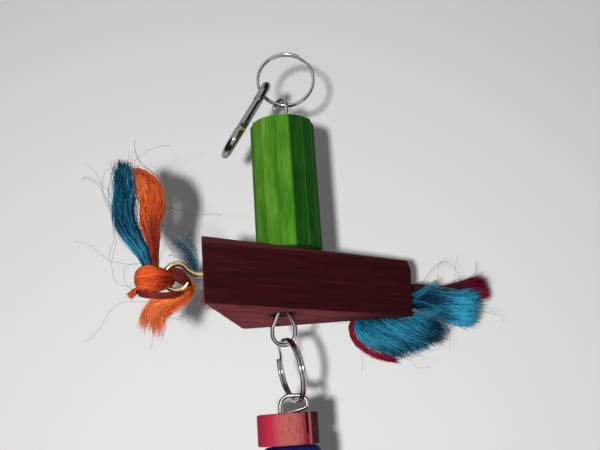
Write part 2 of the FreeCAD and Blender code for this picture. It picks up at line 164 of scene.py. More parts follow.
# Camera, wall and lights
def set_camera():
    """The photo's view, from below and in front."""
    camera = bpy.data.objects.new("camera", bpy.data.cameras.new("camera"))
    bpy.context.collection.objects.link(camera)
    camera.data.lens = CAMERA_LENS
    camera.data.sensor_width = CAMERA_SENSOR
    camera.data.clip_start = 10 * MM
    pitch = Matrix.Rotation(math.radians(90 + CAMERA_PITCH), 4, "X")
    roll = Matrix.Rotation(math.radians(CAMERA_ROLL), 4, "Z")
    camera.matrix_world = Matrix.Translation(CAMERA_PLACE) @ pitch @ roll
    bpy.context.scene.camera = camera


def set_wall():
    """A pale wall behind the toy that is open from the back, for views from there."""
    material, tree, shader = new_material("pale_wall")
    shader.inputs["Base Color"].default_value = (0.95, 0.955, 0.94, 1)
    shader.inputs["Roughness"].default_value = 0.9
    shader.inputs["Specular IOR Level"].default_value = 0.1
    back = add_node(tree, "ShaderNodeNewGeometry").outputs["Backfacing"]
    clear = add_node(tree, "ShaderNodeBsdfTransparent").outputs["BSDF"]
    mix = add_node(tree, "ShaderNodeMixShader", {0: back, 1: shader.outputs["BSDF"], 2: clear})
    tree.links.new(mix.outputs[0], tree.nodes["Material Output"].inputs["Surface"])
    bpy.ops.mesh.primitive_plane_add(size=WALL_WIDTH, location=(0, wall_y, -0.1),
                                     rotation=(math.pi / 2, 0, 0))
    wall = bpy.context.object
    wall.name = "wall"
    wall.data.materials.append(material)


def set_dark_cards():
    """Dark cards round the toy that only its bright metal reflects."""
    material, tree, shader = new_material("dark_card")
    shader.inputs["Base Color"].default_value = (0.015, 0.015, 0.015, 1)
    shader.inputs["Roughness"].default_value = 1.0
    upright = (0, math.pi / 2, 0)
    level = (0, 0, 0)
    cards = {
        "dark_card_left": ((-0.20, -0.13, -0.20), upright, (0.46, 0.36, 1)),
        "dark_card_right": ((0.20, -0.13, 0.06), upright, (0.46, 0.36, 1)),
        "dark_card_above": ((0.09, -0.13, 0.22), level, (0.22, 0.36, 1)),
        "dark_card_below": ((-0.09, -0.13, -0.42), level, (0.22, 0.36, 1)),
    }
    for name, (place, turn, size) in cards.items():
        bpy.ops.mesh.primitive_plane_add(size=1, location=place, rotation=turn)
        card = bpy.context.object
        card.name = name
        card.scale = size
        card.data.materials.append(material)
        card.visible_camera = False
        card.visible_diffuse = False
        card.visible_shadow = False
        card.visible_transmission = False


def set_lights():
    """The small lamp, the soft one behind the wall, and a pale room whose own light is weak."""
    lamp = bpy.data.lights.new("lamp", "POINT")
    lamp.shadow_soft_size = LAMP_RADIUS
    lamp.energy = LAMP_POWER
    lamp_object = bpy.data.objects.new("lamp", lamp)
    bpy.context.collection.objects.link(lamp_object)
    lamp_object.location = LAMP_PLACE

    back = bpy.data.lights.new("back_lamp", "AREA")
    back.shape = "DISK"
    back.size = BACK_LAMP_WIDTH
    back.energy = BACK_LAMP_POWER
    back_object = bpy.data.objects.new("back_lamp", back)
    bpy.context.collection.objects.link(back_object)
    back_object.location = BACK_LAMP_PLACE
    towards = BACK_LAMP_AIM - BACK_LAMP_PLACE
    back_object.rotation_euler = towards.to_track_quat("-Z", "Y").to_euler()
    back_object.visible_camera = False
    back_object.visible_glossy = False

    world = bpy.data.worlds.new("room")
    bpy.context.scene.world = world
    world.use_nodes = True
    tree = world.node_tree
    surface = tree.nodes["Background"]
    path = add_node(tree, "ShaderNodeLightPath").outputs
    seen = math_node(tree, "MAXIMUM", path["Is Camera Ray"], path["Is Glossy Ray"])
    seen = math_node(tree, "MAXIMUM", seen, path["Is Transmission Ray"])
    tree.links.new(mix_colours(tree, seen, ROOM_LIGHT, ROOM_SEEN), surface.inputs["Color"])
    surface.inputs["Strength"].default_value = 1.0


# Finishes
def wood_space(tree, centre, yaw=0):
    """Places on a piece of wood, in millimetres from its centre along its own directions."""
    place = add_node(tree, "ShaderNodeTexCoord").outputs["Object"]
    moved = add_node(tree, "ShaderNodeVectorMath", {0: place, 1: tuple(centre)}, operation="SUBTRACT")
    turned = add_node(tree, "ShaderNodeMapping", {"Vector": moved.outputs[0], "Rotation": (0, 0, -yaw)})
    level = add_node(tree, "ShaderNodeMapping", {
        "Vector": turned.outputs[0], "Rotation": (0, STACK_LEAN, 0), "Scale": (1000, 1000, 1000)})
    return level.outputs[0]


def stretched_noise(tree, space, stretch, detail=6.0, roughness=0.6):
    """Noise drawn out along the grain."""
    place = add_node(tree, "ShaderNodeMapping", {"Vector": space, "Scale": stretch})
    return add_node(tree, "ShaderNodeTexNoise", {
        "Vector": place.outputs[0], "Scale": 1.0, "Detail": detail, "Roughness": roughness,
        "Distortion": 0.2}).outputs["Fac"]


def finish_wood(tree, shader, colour, relief, strength, roughness=0.68):
    """Dry dyed wood: its colour, its fine relief and a faint sheen."""
    tree.links.new(colour, shader.inputs["Base Color"])
    shader.inputs["Roughness"].default_value = roughness
    shader.inputs["Specular IOR Level"].default_value = 0.07
    bump = add_node(tree, "ShaderNodeBump", {
        "Height": relief, "Strength": strength, "Distance": 0.35 * MM})
    tree.links.new(bump.outputs["Normal"], shader.inputs["Normal"])


def green_wood():
    """Mottled green, with painted light on the left, painted shade on the right, at the left rim and low
    down near the block, and a painted line along each flute's ridge, dark on the lit side and light on the
    shaded side.
    """
    material, tree, shader = new_material("green_wood")
    space = wood_space(tree, dowel_centre)
    part = add_node(tree, "ShaderNodeSeparateXYZ", {0: space}).outputs
    fine = stretched_noise(tree, space, (1.7, 1.7, 0.09))
    blotch = stretched_noise(tree, space, (0.16, 0.16, 0.05), detail=3.0)
    turn = math_node(tree, "ARCTAN2", part["Y"], part["X"])
    flute = math_node(tree, "DIVIDE", turn, 2 * math.pi / DOWEL_FLUTES)
    flute_chance = add_node(tree, "ShaderNodeTexWhiteNoise", {"W": math_node(tree, "FLOOR", flute)},
                            noise_dimensions="1D").outputs["Value"]
    flute_tone = math_node(tree, "MULTIPLY", flute_chance, 0.16)
    streak = math_node(tree, "ADD", math_node(tree, "MULTIPLY", fine, 0.50), flute_tone)
    level = math_node(tree, "ADD", streak, math_node(tree, "MULTIPLY", blotch, 0.65))
    # The two ramps are lit and shaded copies of the green: painted light on the dowel's left and painted
    # shade on its right
    bright = colour_ramp(tree, band(tree, level, 0.42, 0.86), [
        (0.0, (0.020, 0.125, 0.006)), (0.45, (0.060, 0.215, 0.012)), (1.0, (0.135, 0.30, 0.026))])
    deep = colour_ramp(tree, band(tree, level, 0.42, 0.90), [
        (0.0, (0.003, 0.035, 0.003)), (0.6, (0.012, 0.085, 0.006)), (1.0, (0.05, 0.17, 0.02))])
    right = band(tree, math_node(tree, "ADD", part["X"], blotch), 2.9, 3.9)
    colour = mix_colours(tree, right, bright, deep)
    # Painted shade along the left rim, and low down on the left near the block
    left_rim_shade = band(tree, part["X"], -11.8, -13.0)
    low = math_node(tree, "MULTIPLY", band(tree, part["Z"], -17.0, -26.0), band(tree, part["X"], 3.0, -7.0))
    low = math_node(tree, "MULTIPLY", low, band(tree, blotch, 0.35, 0.60))
    # A painted line along each flute's ridge: painted shade on the lit side, painted highlight on the
    # shaded side
    ridge = math_node(tree, "ABSOLUTE", math_node(
        tree, "SUBTRACT", math_node(tree, "FRACT", flute), 0.5))
    ridge = math_node(tree, "MULTIPLY", band(tree, ridge, 0.44, 0.50), 0.5)
    line = mix_colours(tree, right, (0.018, 0.10, 0.008, 1), (0.060, 0.19, 0.036, 1))
    colour = mix_colours(tree, ridge, colour, line)
    shade = math_node(tree, "MAXIMUM", math_node(tree, "MULTIPLY", left_rim_shade, 0.65),
                      math_node(tree, "MULTIPLY", low, 0.8))
    colour = mix_colours(tree, shade, colour, (0.012, 0.085, 0.006, 1))
    finish_wood(tree, shader, colour, fine, 0.42)
    return material


def maroon_wood():
    """Dark maroon with fine lengthwise streaks, a paler band along the top edge, and painted light on the
    underside that fades towards its right end, with painted shade round the hole.
    """
    material, tree, shader = new_material("maroon_wood")
    space = wood_space(tree, block_centre, BLOCK_YAW)
    fine = stretched_noise(tree, space, (0.06, 2.6, 2.6))
    broad = stretched_noise(tree, space, (0.025, 0.35, 0.55), detail=3.0)
    level = math_node(tree, "ADD", math_node(tree, "MULTIPLY", fine, 0.6),
                      math_node(tree, "MULTIPLY", broad, 0.6))
    front = colour_ramp(tree, band(tree, level, 0.38, 0.86), [
        (0.0, (0.019, 0.0017, 0.0028)), (0.5, (0.031, 0.0032, 0.0050)), (1.0, (0.056, 0.0080, 0.0115))])
    # The underside's ramp is a lit copy of the maroon: painted light that fades towards the right end
    lit_underside = colour_ramp(tree, band(tree, level, 0.40, 0.80), [
        (0.0, (0.07, 0.006, 0.010)), (0.5, (0.20, 0.019, 0.029)), (1.0, (0.36, 0.060, 0.078))])
    part = add_node(tree, "ShaderNodeSeparateXYZ", {0: space}).outputs
    lit_underside = mix_colours(tree, band(tree, part["X"], -4.0, 34.0), lit_underside, (0.055, 0.006, 0.009, 1))
    # Painted shade round the hole where the upper link leaves the underside
    place = add_node(tree, "ShaderNodeTexCoord").outputs["Object"]
    from_hole = add_node(tree, "ShaderNodeVectorMath", {0: place, 1: HOLE_PLACE}, operation="DISTANCE")
    hole_shade = band(tree, from_hole.outputs["Value"], HOLE_SHADE_START, HOLE_SHADE_FULL)
    lit_underside = mix_colours(tree, math_node(tree, "MULTIPLY", hole_shade, 0.85), lit_underside, DEEP_SHADE)
    normal = add_node(tree, "ShaderNodeTexCoord").outputs["Normal"]
    facing = add_node(tree, "ShaderNodeSeparateXYZ", {0: normal}).outputs["Z"]
    # Faces turned down take the underside's painted light
    colour = mix_colours(tree, band(tree, facing, -0.55, -0.85), front, lit_underside)
    # A paler band along the top edge
    wander = math_node(tree, "MULTIPLY", broad, 1.6)
    pale_top_band = band(tree, math_node(tree, "ADD", part["Z"], wander), 12.0, 13.0)
    colour = mix_colours(tree, math_node(tree, "MULTIPLY", pale_top_band, 0.40), colour, (0.13, 0.032, 0.036, 1))
    finish_wood(tree, shader, colour, fine, 0.34, roughness=0.74)
    return material


def pink_wood():
    """Crimson on the left, salmon with brown specks in the middle, a dark crack on the right, and painted
    shade that darkens the right edge to near-black.
    """
    material, tree, shader = new_material("pink_wood")
    space = wood_space(tree, disc_centre)
    part = add_node(tree, "ShaderNodeSeparateXYZ", {0: space}).outputs
    fine = stretched_noise(tree, space, (1.9, 1.9, 0.22))
    specks = stretched_noise(tree, space, (1.5, 1.5, 0.45), detail=4.0, roughness=0.75)
    wander = math_node(tree, "MULTIPLY", math_node(tree, "SUBTRACT", fine, 0.5), 7.0)
    place = math_node(tree, "ADD", part["X"], wander)
    # Across the disc: crimson dye, salmon wood, then painted shade that deepens to near-black at the right
    # edge
    colour = colour_ramp(tree, band(tree, place, -12.0, 12.0), [
        (0.0, (0.36, 0.014, 0.040)), (0.26, (0.46, 0.026, 0.060)), (0.42, (0.43, 0.090, 0.085)),
        (0.66, (0.40, 0.094, 0.090)), (0.78, (0.26, 0.018, 0.034)), (0.88, (0.06, 0.004, 0.009)),
        (1.0, (0.014, 0.001, 0.003))])
    brown = math_node(tree, "MULTIPLY", band(tree, specks, 0.52, 0.64), band(tree, part["X"], -4.5, -2.0))
    colour = mix_colours(tree, math_node(tree, "MULTIPLY", brown, 0.70), colour, (0.16, 0.040, 0.030, 1))
    pale = math_node(tree, "MULTIPLY", band(tree, part["X"], 7.9, 8.1), band(tree, part["X"], 9.0, 8.6))
    colour = mix_colours(tree, math_node(tree, "MULTIPLY", pale, 0.6), colour, (0.62, 0.19, 0.16, 1))
    bend = math_node(tree, "MULTIPLY", part["Z"], 0.03)
    crack_line = math_node(tree, "ADD", bend, -7.4)
    from_crack = math_node(tree, "ABSOLUTE", math_node(tree, "ADD", part["X"], crack_line))
    crack = band(tree, from_crack, 0.50, 0.28)
    crack = math_node(tree, "MULTIPLY", crack, band(tree, part["Z"], -2.4, -1.4))
    crack = math_node(tree, "MULTIPLY", crack, band(tree, part["Y"], 0.0, -1.0))
    colour = mix_colours(tree, crack, colour, DEEP_SHADE)
    finish_wood(tree, shader, colour, fine, 0.40)
    return material


def blue_wood():
    """Deep blue dyed wood with soft upright grain."""
    material, tree, shader = new_material("blue_wood")
    space = wood_space(tree, disc_centre)
    fine = stretched_noise(tree, space, (1.6, 1.6, 0.10))
    colour = colour_ramp(tree, band(tree, fine, 0.30, 0.75), [
        (0.0, (0.004, 0.005, 0.055)), (0.5, (0.009, 0.012, 0.12)), (1.0, (0.03, 0.045, 0.24))])
    finish_wood(tree, shader, colour, fine, 0.38)
    return material


def bright_metal(name, colour, roughness):
    """Bright wire with faint drawing marks."""
    material, tree, shader = new_material(name)
    place = add_node(tree, "ShaderNodeTexCoord").outputs["Object"]
    marks = add_node(tree, "ShaderNodeTexNoise", {"Vector": place, "Scale": 900.0, "Detail": 3.0})
    rough = add_node(tree, "ShaderNodeMapRange", {
        "Value": marks.outputs["Fac"], "To Min": roughness * 0.6, "To Max": roughness * 1.5})
    tree.links.new(rough.outputs[0], shader.inputs["Roughness"])
    shade = colour_ramp(tree, marks.outputs["Fac"], [
        (0.3, tuple(value * 0.84 for value in colour)), (0.7, colour)])
    tree.links.new(shade, shader.inputs["Base Color"])
    shader.inputs["Metallic"].default_value = 1.0
    bump = add_node(tree, "ShaderNodeBump", {
        "Height": marks.outputs["Fac"], "Strength": 0.08, "Distance": 0.1 * MM})
    tree.links.new(bump.outputs["Normal"], shader.inputs["Normal"])
    return material


def dyed_fibre(name, deep, middle, bright):
    """Glossy fibre coloured by the strand value at each place: dye that differs from strand to strand, and
    painted light and shade along the fibres.
    """
    material, tree, shader = new_material(name)
    strand = add_node(tree, "ShaderNodeAttribute", attribute_name="strand")
    colour = colour_ramp(tree, strand.outputs["Fac"], [(0.0, deep), (0.5, middle), (1.0, bright)])
    tree.links.new(colour, shader.inputs["Base Color"])
    shader.inputs["Roughness"].default_value = 0.40
    shader.inputs["Specular IOR Level"].default_value = 0.16
    return material


def paint(node, material):
    """Gives a node of the frame a material."""
    mesh = nodes[node].data
    mesh.materials.clear()
    mesh.materials.append(material)


# Fibres
def smooth_path(points, count):
    """Evenly spaced places on a smooth line through the points."""
    points = np.array(points, dtype=float)
    ends = np.vstack([2 * points[0] - points[1], points, 2 * points[-1] - points[-2]])
    spans = len(points) - 1
    places = []
    for share in np.linspace(0, spans, count):
        index = min(int(share), spans - 1)
        part = share - index
        before, start, end, after = ends[index:index + 4]
        places.append(0.5 * (2 * start + (end - before) * part
                             + (2 * before - 5 * start + 4 * end - after) * part ** 2
                             + (3 * start - before - 3 * end + after) * part ** 3))
    return np.array(places)


def path_sides(path):
    """Two directions across a path at each of its places."""
    along = np.gradient(path, axis=0)
    along /= np.linalg.norm(along, axis=1)[:, None]
    slant = (0.3, 0.5, 0.8)
    side = np.cross(along[0], slant)
    sides = []
    for direction in along:
        side = side - direction * side.dot(direction)
        side /= np.linalg.norm(side)
        sides.append(side)
    sides = np.array(sides)
    return sides, np.cross(along, sides)


def thread_mesh(name, lines, thickness, shades, material):
    """One mesh of three-sided threads along lines in millimetres, with a shade at each of their places."""
    vertices = []
    faces = []
    strand = []
    start = 0
    for line, shade in zip(lines, shades):
        line = np.asarray(line) * MM
        side, other = path_sides(line)
        count = len(line)
        taper = np.full(count, thickness * MM / 2)
        taper[-1] *= 0.3
        for corner in range(3):
            angle = 2 * math.pi * corner / 3
            vertices.append(line + (side * math.cos(angle) + other * math.sin(angle)) * taper[:, None])
        for step in range(count - 1):
            for corner in range(3):
                here = start + corner * count + step
                beside = start + (corner + 1) % 3 * count + step
                faces.append((here, beside, beside + 1, here + 1))
        faces.append((start + 2 * count, start + count, start))
        faces.append((start + count - 1, start + 2 * count - 1, start + 3 * count - 1))
        strand.append(np.tile(np.broadcast_to(np.clip(shade, 0, 1), count), 3))
        start += 3 * count
    mesh = bpy.data.meshes.new(name)
    mesh.from_pydata(np.vstack(vertices).tolist(), [], faces)
    mesh.attributes.new("strand", "FLOAT", "POINT").data.foreach_set("value", np.concatenate(strand))
    mesh.shade_smooth()
    mesh.materials.append(material)
    piece = bpy.data.objects.new(name, mesh)
    bpy.context.collection.objects.link(piece)
    return piece


def kept_steps(end):
    """The steps that are kept of a fibre whose path is cut short at a step."""
    return np.linspace(0, end - 1, FIBRE_PLACES).round().astype(int)


def finish_fibres(name, lines, shades, material, stands_for, thickness):
    """A piece of fibres that rides on the block and may stand for one of its nodes."""
    piece = thread_mesh(name, lines, thickness, shades, material)
    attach(piece, "block")
    if stands_for:
        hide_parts(*stands_for)
    return piece


def wisp(rng, line, size):
    """A soft curl to add to a line, larger towards its end."""
    share = np.linspace(0, 1, len(line))
    curl = np.zeros((len(line), 3))
    for axis in range(3):
        speed = rng.uniform(3.0, 9.0)
        curl[:, axis] = np.sin(speed * share + rng.uniform(0, 2 * math.pi))
    return curl * (size * share ** 1.3)[:, None]


def bunch(name, node, material, seed, knot, sections, count, locks, tones,
          wave, fray, thickness=BUNCH_FIBRE, reach=(0.82, 1.04), twist=0.5, loose=0.05):
    """Fibres that leave a knot side by side in locks; sections give places and half widths in mm, and
    tones give shades from the knot, 0, to the tips, 1: painted shade near the knot and painted light
    further out."""
    rng = np.random.default_rng(seed)
    steps = 60
    depth = 0.8
    middle = smooth_path([place for place, width in sections], steps)
    widths = smooth_path([(width, width, width) for place, width in sections], steps)[:, 0]
    along = np.gradient(middle, axis=0)
    along /= np.linalg.norm(along, axis=1)[:, None]
    backwards = np.array([0.0, 1.0, 0.0])
    side = np.cross(along, backwards)
    side /= np.linalg.norm(side, axis=1)[:, None]
    other = np.cross(along, side)
    share = np.linspace(0, 1, steps)

    # Each lock has its own place, twist, reach and tone
    lock_angle = rng.uniform(0, 2 * math.pi, locks)
    lock_out = np.sqrt(rng.uniform(0.02, 1.0, locks)) * 0.78
    lock_twist = rng.normal(0, twist, locks)
    lock_reach = rng.uniform(*reach, locks)
    lock_tone = rng.uniform(-0.28, 0.28, locks)
    lines = []
    shades = []
    for index in range(count):
        lock = index % locks
        turned = lock_angle[lock] + lock_twist[lock] * share
        own_angle = rng.uniform(0, 2 * math.pi)
        own_out = rng.uniform(0, 1) ** 0.6 * 0.30
        spread = 1 + fray * share ** 3 * rng.uniform(0, 1)
        x = (np.cos(turned) * lock_out[lock] + own_out * math.cos(own_angle)) * spread
        y = (np.sin(turned) * lock_out[lock] + own_out * math.sin(own_angle)) * spread
        line = middle + (side * x[:, None] + other * (y * depth)[:, None]) * widths[:, None]
        is_loose = rng.random() < loose
        line = line + wisp(rng, line, (wave * 6 if is_loose else wave) * widths.mean())
        keep = kept_steps(max(12, int(steps * min(1.0, lock_reach[lock] * rng.uniform(0.90, 1.04)))))
        # The tones paint shade near the knot and light further out, on top of each lock's own dye
        tone = np.interp(share[keep], *zip(*tones)) + lock_tone[lock] + rng.normal(0, 0.20)
        lines.append(line[keep] + knot)
        shades.append(tone)
    return finish_fibres(name, lines, shades, material, (node,), thickness)


def fan(name, node, material, seed, knot, guides, count, locks, tones,
        side_light_and_shade, depth, frizz, reach, crossing):
    """Fibres that spread from a knot between guide lines, in locks; all places are in mm from the knot.
    Their tones paint shade near the knot and light further out, the side shift paints light and shade
    from the lowest guide to the highest, and locks further back get painted shade.
    """
    rng = np.random.default_rng(seed)
    steps = 40
    rails = np.array([smooth_path(guide, steps) for guide in guides])
    share = np.linspace(0, 1, steps)
    last = len(guides) - 1

    def between(place):
        """The line at a place among the guides, where the whole numbers are the guides themselves."""
        place = np.clip(place, 0, last)
        low = np.minimum(place.astype(int), last - 1)
        part = (place - low)[:, None]
        step = np.arange(steps)
        return rails[low, step] * (1 - part) + rails[low + 1, step] * part

    # Each lock has its own place, drift, depth, reach and tone
    lock_place = rng.uniform(0, last, locks)
    lock_drift = rng.normal(0, 0.22, locks)
    lock_depth = rng.uniform(-1, 1, locks)
    lock_reach = rng.uniform(*reach, locks)
    lock_tone = rng.uniform(-0.36, 0.36, locks)
    lines = []
    shades = []
    for index in range(count):
        lock = index % locks
        drift = lock_drift[lock] + rng.normal(0, 0.05)
        if rng.random() < crossing:
            drift += rng.normal(0, 1.2)
        place = lock_place[lock] + rng.normal(0, 0.13) + drift * (share - 0.5)
        line = between(place)
        back = (lock_depth[lock] + rng.normal(0, 0.15)) * depth * (0.35 + 0.65 * share)
        line = line + np.column_stack([np.zeros(steps), back, np.zeros(steps)])
        line = line + wisp(rng, line, frizz * rng.uniform(0.4, 1.8))
        keep = kept_steps(max(10, int(steps * min(1.0, lock_reach[lock] * rng.uniform(0.90, 1.03)))))
        # The tones paint shade near the knot and light further out, locks further back get painted shade,
        # one thread in 25 is made paler, and the side shift paints light and shade from the lowest guide to
        # the highest
        tone = np.interp(share[keep], *zip(*tones)) + lock_tone[lock] + rng.normal(0, 0.20)
        tone = tone - 0.10 * lock_depth[lock] + (0.6 if rng.random() < 0.04 else 0.0)
        tone = tone + np.interp(place[keep], (0, last), side_light_and_shade)
        lines.append(line[keep] + knot)
        shades.append(tone)
    return finish_fibres(name, lines, shades, material, (node,), BUNCH_FIBRE)


def wrap(name, node, material, seed, centre, half, count, locks, tones):
    """Fibres wound round a knot: nearly level turns on a rounded body of these half sizes in mm; the
    tones paint light on the knot's left side and shade on its right.
    """
    rng = np.random.default_rng(seed)
    lock_height = rng.uniform(-0.95, 0.95, locks)
    lock_tilt = rng.normal(0, 0.16, locks)
    lock_tone = rng.uniform(-0.25, 0.25, locks)
    lines = []
    shades = []
    for index in range(count):
        lock = index % locks
        start = rng.uniform(0, 2 * math.pi)
        angle = start + np.linspace(0, rng.uniform(1.6, 3.6), 12)
        height = lock_height[lock] + rng.normal(0, 0.06) + lock_tilt[lock] * np.cos(angle)
        height = np.clip(height, -0.985, 0.985)
        girth = (1 - np.abs(height) ** 2.4) ** 0.5 * (1 + rng.normal(0, 0.015))
        narrow = 1 - 0.16 * np.cos(angle)
        x = half[0] * np.cos(angle) * girth
        y = half[1] * np.sin(angle) * girth
        z = half[2] * height * narrow + 0.36 * np.sin(angle * 0.5) ** 2
        lines.append(np.column_stack([x, y, z]) + centre)
        # Painted light on the knot's left side and painted shade on its right, set by the place across it
        across = np.cos(angle) * girth
        shades.append(np.interp(across, *zip(*tones)) + lock_tone[lock] + rng.normal(0, 0.12))
    return finish_fibres(name, lines, shades, material, (node,), WOUND_FIBRE)


def strands(name, material, seed, knot, routes, count, width, shade_range,
            thickness=WOUND_FIBRE):
    """Thin ropes of fibres along given routes, in mm from a knot; count is for each route."""
    rng = np.random.default_rng(seed)
    steps = 24
    lines = []
    shades = []
    for route in routes:
        line = smooth_path(route, steps)
        side, other = path_sides(line)
        for index in range(count):
            angle = rng.uniform(0, 2 * math.pi)
            out = width * math.sqrt(rng.uniform(0, 1))
            away = side * out * math.cos(angle) + other * out * math.sin(angle)
            keep = kept_steps(int(steps * rng.uniform(0.75, 1.0)))
            fibre = line + away + wisp(rng, line, width * 0.4)
            lines.append(fibre[keep] + knot)
            shades.append(rng.uniform(*shade_range))
    return finish_fibres(name, lines, shades, material, (), thickness)


def saw_fuzz(name, material, seed, edges, count):
    """Short torn fibres along the block's sawn edges, so many on each."""
    rng = np.random.default_rng(seed)
    lines = []
    shades = []
    for start, end, outwards in edges:
        for index in range(count):
            base = np.array(start) + (np.array(end) - np.array(start)) * rng.uniform(0, 1)
            length = rng.uniform(0.4, 1.5)
            way = np.array(outwards) + rng.normal(0, 0.5, 3)
            way /= np.linalg.norm(way)
            bow = rng.normal(0, 0.3, 3)
            share = np.linspace(0, 1, 5)[:, None]
            lines.append(base + way * length * share + bow * length * share ** 2)
            shades.append(rng.uniform(0.3, 1.0))
    return finish_fibres(name, lines, shades, material, (), LOOSE_FIBRE)


def screw_eye(name, node, material, place, outwards):
    """Brass wire bent to a loop on a neck that goes into the wood at a place in mm, in one direction."""
    neck, radius, wire = 7.4, 4.9, 2.0
    loop_start, loop_turn, loop_steps = 152, 302, 24
    loop_x = neck + radius
    route = [(-1.5, 0, 0), (2.0, 0, 0), (4.4, 0, 0.15), (6.0, 0, 0.95)]
    for step in range(loop_steps + 1):
        angle = math.radians(loop_start - step * loop_turn / loop_steps)
        route.append((loop_x + radius * math.cos(angle), 0, radius * math.sin(angle)))
    upwards = Vector(EYE_UPWARDS)
    across = upwards.cross(Vector(outwards))
    line = smooth_path(route, 110)
    curve = bpy.data.curves.new(name, "CURVE")
    curve.dimensions = "3D"
    curve.bevel_depth = wire / 2 * MM
    curve.bevel_resolution = 5
    curve.use_fill_caps = True
    spline = curve.splines.new("POLY")
    spline.points.add(len(line) - 1)
    for point, at in zip(spline.points, line):
        where = (Vector(place) + Vector(outwards) * at[0] + upwards * at[2] + across * at[1]) * MM
        point.co = (*where, 1)
    bent = bpy.data.objects.new(name, curve)
    bpy.context.collection.objects.link(bent)
    bpy.ops.object.select_all(action="DESELECT")
    bent.select_set(True)
    bpy.context.view_layer.objects.active = bent
    bpy.ops.object.convert(target="MESH")
    piece = bpy.context.object
    piece.name = name
    piece.data.shade_smooth()
    piece.data.materials.clear()
    piece.data.materials.append(material)
    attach(piece, "block")
    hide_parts(node)


def hairs(name, material, seed, start, routes, shade):
    """Stray fibres along given routes, in mm from start; one in three has a shorter neighbour."""
    rng = np.random.default_rng(seed)
    lines = []
    for route in routes:
        line = smooth_path(route, 10 * len(route))
        lines.append(line + start)
        if rng.random() < 0.35:
            away = wisp(rng, line, 4.0) + rng.normal(0, 0.25, 3)
            lines.append((line + away)[:int(len(line) * rng.uniform(0.5, 0.95))] + start)
    return finish_fibres(name, lines, [shade] * len(lines), material, (), LOOSE_FIBRE)


# The room
set_camera()
set_wall()
set_dark_cards()
set_lights()

# Metals and woods
nickel = bright_metal("nickel_plate", (0.52, 0.52, 0.51), 0.12)
# The clip is the rings' nickel painted darker: a painted reflection of a dark room
clip_nickel_painted_dark = bright_metal("clip_nickel_plate_painted_dark", (0.34, 0.33, 0.32), 0.12)
brass = bright_metal("brass_wire", (0.78, 0.58, 0.30), 0.16)
for name in ("top_split_ring", "middle_split_ring", "upper_link", "lower_link"):
    paint(name, nickel)
for name in ("clip_body", "clip_gate", "clip_pin"):
    paint(name, clip_nickel_painted_dark)
screw_eye("left_eye_wire", "left_screw_eye", brass, LEFT_EYE_PLACE, LEFT_EYE_OUTWARDS)
screw_eye("right_eye_wire", "right_screw_eye", brass, RIGHT_EYE_PLACE, RIGHT_EYE_OUTWARDS)
paint("green_dowel", green_wood())
paint("maroon_block", maroon_wood())
paint("pink_disc", pink_wood())
paint("blue_barrel", blue_wood())

# Dyes of the ropes and the loose fibre
teal = dyed_fibre("teal_fibre", (0.001, 0.008, 0.020), (0.002, 0.078, 0.165), (0.050, 0.50, 0.74))
orange = dyed_fibre("orange_fibre", (0.14, 0.006, 0.003), (0.70, 0.082, 0.012), (0.98, 0.30, 0.085))
crimson = dyed_fibre("crimson_fibre", (0.035, 0.001, 0.006), (0.20, 0.003, 0.022), (0.58, 0.016, 0.070))
crimson_brown = dyed_fibre("crimson_brown_fibre", (0.03, 0.003, 0.003), (0.22, 0.020, 0.018),
                           (0.42, 0.10, 0.085))
dark_hair = dyed_fibre("dark_hair", (0.012, 0.020, 0.022), (0.035, 0.060, 0.065), (0.12, 0.06, 0.05))

# Left tassel
bunch("blue_bunch_fibres", "left_blue_bunch", teal, 11, left_knot, [
    ((-0.6, -1.6, 3.0), 1.7),
    ((-2.6, -1.8, 8.6), 2.3),
    ((-6.8, -2.0, 15.5), 3.5),
    ((-10.2, -2.0, 22.5), 4.2),
    ((-10.6, -2.0, 31.0), 3.9),
    ((-10.8, -2.0, 39.0), 3.3),
    ((-11.2, -2.0, 45.5), 3.1),
], count=1700, locks=46, wave=0.19, fray=0.6, reach=(0.70, 1.06), loose=0.12,
      tones=[(0, 0.30), (0.25, 0.72), (0.45, 0.34), (0.8, 0.52), (1, 0.25)])
bunch("orange_bunch_fibres", "left_orange_bunch", orange, 12, left_knot, [
    ((0.8, 0.6, 2.0), 2.0),
    ((0.4, 0.8, 9.0), 2.1),
    ((0.0, 0.8, 15.5), 2.6),
    ((-1.3, 0.8, 22.5), 4.3),
    ((-0.4, 0.8, 29.5), 4.7),
    ((-2.2, 0.8, 35.5), 4.4),
    ((-5.8, 0.2, 39.4), 3.4),
    ((-10.0, -0.4, 40.0), 2.2),
], count=1700, locks=40, wave=0.17, fray=0.5, twist=0.4, loose=0.08,
      tones=[(0, 0.05), (0.28, 0.10), (0.42, 0.42), (0.6, 0.74), (0.8, 0.80), (1, 0.66)])
bunch("tail_fibres", "left_tail", orange, 13, left_knot, [
    ((9.0, 2.4, 1.5), 1.8),
    ((13.2, 2.8, -1.6), 1.9),
    ((13.4, 1.8, -5.2), 2.1),
    ((9.2, 0.2, -8.4), 2.6),
    ((3.8, -1.4, -11.2), 4.0),
    ((1.8, -2.0, -15.0), 4.3),
    ((1.4, -2.0, -21.5), 3.7),
], count=1300, locks=26, wave=0.15, fray=0.55, reach=(0.66, 1.0), twist=0.4, loose=0.07,
      tones=[(0, 0.05), (0.25, 0.30), (0.45, 0.65), (0.7, 0.85), (1, 0.80)])
bunch("tuft_fibres", "left_tuft", teal, 14, left_knot, [
    ((15.6, 2.5, 1.4), 1.0),
    ((15.2, 2.8, 5.4), 1.3),
    ((13.2, 3.0, 9.6), 1.5),
    ((9.4, 3.0, 13.2), 1.5),
    ((6.0, 3.0, 15.6), 1.4),
], count=90, locks=18, wave=0.75, fray=1.1, thickness=0.13, loose=0.5, reach=(0.4, 1.0),
      tones=[(0, 0.20), (0.5, 0.42), (1, 0.25)])
